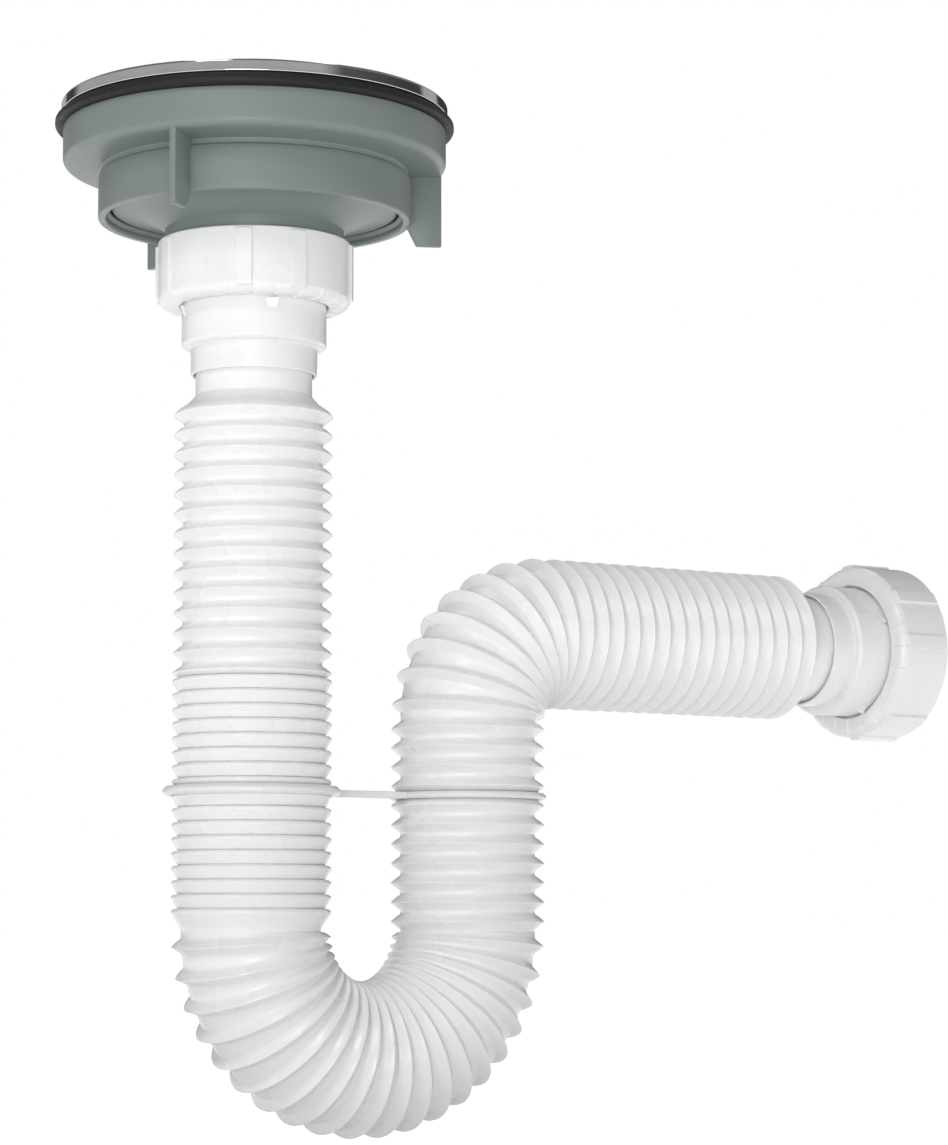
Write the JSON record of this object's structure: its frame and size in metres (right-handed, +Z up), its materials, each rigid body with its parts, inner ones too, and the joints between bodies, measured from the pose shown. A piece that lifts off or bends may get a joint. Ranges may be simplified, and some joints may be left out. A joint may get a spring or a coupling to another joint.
{
  "type": "p trap",
  "caption": "Under-sink corrugated hose P-trap below a clamped strainer waste, with slip nuts at both ends and a retaining clip that joins its two legs.",
  "frame": {"origin": "centre of the sink hole, on the plane where the sink sheet meets the strainer's flange seal", "axes": "+Z up along the strainer's and the inlet leg's axis; +X along the outlet arm, out of the outlet nut; +Y completes a right-handed set, so the trap lies in the XZ plane"},
  "size_m": [0.306, 0.1184, 0.3063],
  "materials": {
    "grey_plastic": "satin",
    "white_plastic": "semi-gloss",
    "hose_plastic": "satin",
    "polished_steel": "mirror-polished",
    "black_rubber": "matte"
  },
  "bodies": {
    "strainer": {"strainer_body": "grey_plastic", "flange_cover": "polished_steel", "flange_seal": "black_rubber"},
    "gasket": {"sink_gasket": "black_rubber"},
    "wing_nut": {"wing_nut": "grey_plastic"},
    "basket": {"basket_cup": "polished_steel", "basket_stopper": "black_rubber", "basket_knob": "polished_steel"},
    "inlet_washer": {"inlet_washer": "black_rubber"},
    "inlet_nut": {"inlet_nut": "white_plastic"},
    "tail": {"inlet_adapter": "white_plastic", "hose_inlet_cuff": "hose_plastic", "hose_drop_section": "hose_plastic"},
    "middle_ring": {"hose_middle_ring": "hose_plastic", "hose_folded_section": "hose_plastic"},
    "trap": {"hose_inlet_leg": "hose_plastic", "hose_bend_down": "hose_plastic", "hose_bend_up": "hose_plastic", "hose_riser": "hose_plastic", "hose_elbow": "hose_plastic", "retaining_clip": "white_plastic"},
    "arm": {"hose_arm": "hose_plastic", "hose_arm_section": "hose_plastic"},
    "outlet": {"hose_outlet_cuff": "hose_plastic", "outlet_adapter": "white_plastic", "outlet_washer": "black_rubber"},
    "outlet_nut": {"outlet_nut": "white_plastic"}
  },
  "joints": [
    {"name": "gasket_drop", "type": "slide", "parent": "strainer", "child": "gasket", "axis": [0, 0, -1], "range_m": [0, 0.0211]},
    {"name": "wing_nut_turn", "type": "hinge", "parent": "gasket", "child": "wing_nut", "pos_m": [0, 0, -0.016], "axis": [0, 0, -1], "range_deg": [0, 2520]},
    {"name": "basket_lift", "type": "slide", "parent": "strainer", "child": "basket", "axis": [0, 0, 1], "range_m": [0, 0.06]},
    {"name": "inlet_release", "type": "slide", "parent": "strainer", "child": "inlet_washer", "axis": [0, 0, -1], "range_m": [0, 0.0128]},
    {"name": "inlet_nut_turn", "type": "hinge", "parent": "inlet_washer", "child": "inlet_nut", "pos_m": [0, 0, -0.046], "axis": [0, 0, -1], "range_deg": [0, 1980]},
    {"name": "trap_swivel", "type": "hinge", "parent": "inlet_washer", "child": "tail", "pos_m": [0, 0, -0.06], "axis": [0, 0, 1], "continuous": true},
    {"name": "drop_fold", "type": "slide", "parent": "tail", "child": "middle_ring", "axis": [0, 0, 1], "range_m": [0, 0.0199], "deforming": ["hose_drop_section"]},
    {"name": "leg_open", "type": "slide", "parent": "middle_ring", "child": "trap", "axis": [0, 0, -1], "range_m": [0, 0.0116], "deforming": ["hose_folded_section"]},
    {"name": "arm_tilt", "type": "hinge", "parent": "trap", "child": "arm", "pos_m": [0.104, 0, -0.17536], "axis": [0, -1, 0], "range_deg": [-12, 30], "deforming": ["hose_elbow"]},
    {"name": "arm_fold", "type": "slide", "parent": "arm", "child": "outlet", "axis": [-1, 0, 0], "range_m": [0, 0.0199], "deforming": ["hose_arm_section"]},
    {"name": "outlet_nut_turn", "type": "hinge", "parent": "outlet", "child": "outlet_nut", "pos_m": [0.23728, 0, -0.14736], "axis": [1, 0, 0], "continuous": true}
  ],
  "couplings": [
    {"joint": "gasket_drop", "follows": "wing_nut_turn", "m_per_rad": 0.00047746},
    {"joint": "inlet_release", "follows": "inlet_nut_turn", "m_per_rad": 0.00036749}
  ]
}
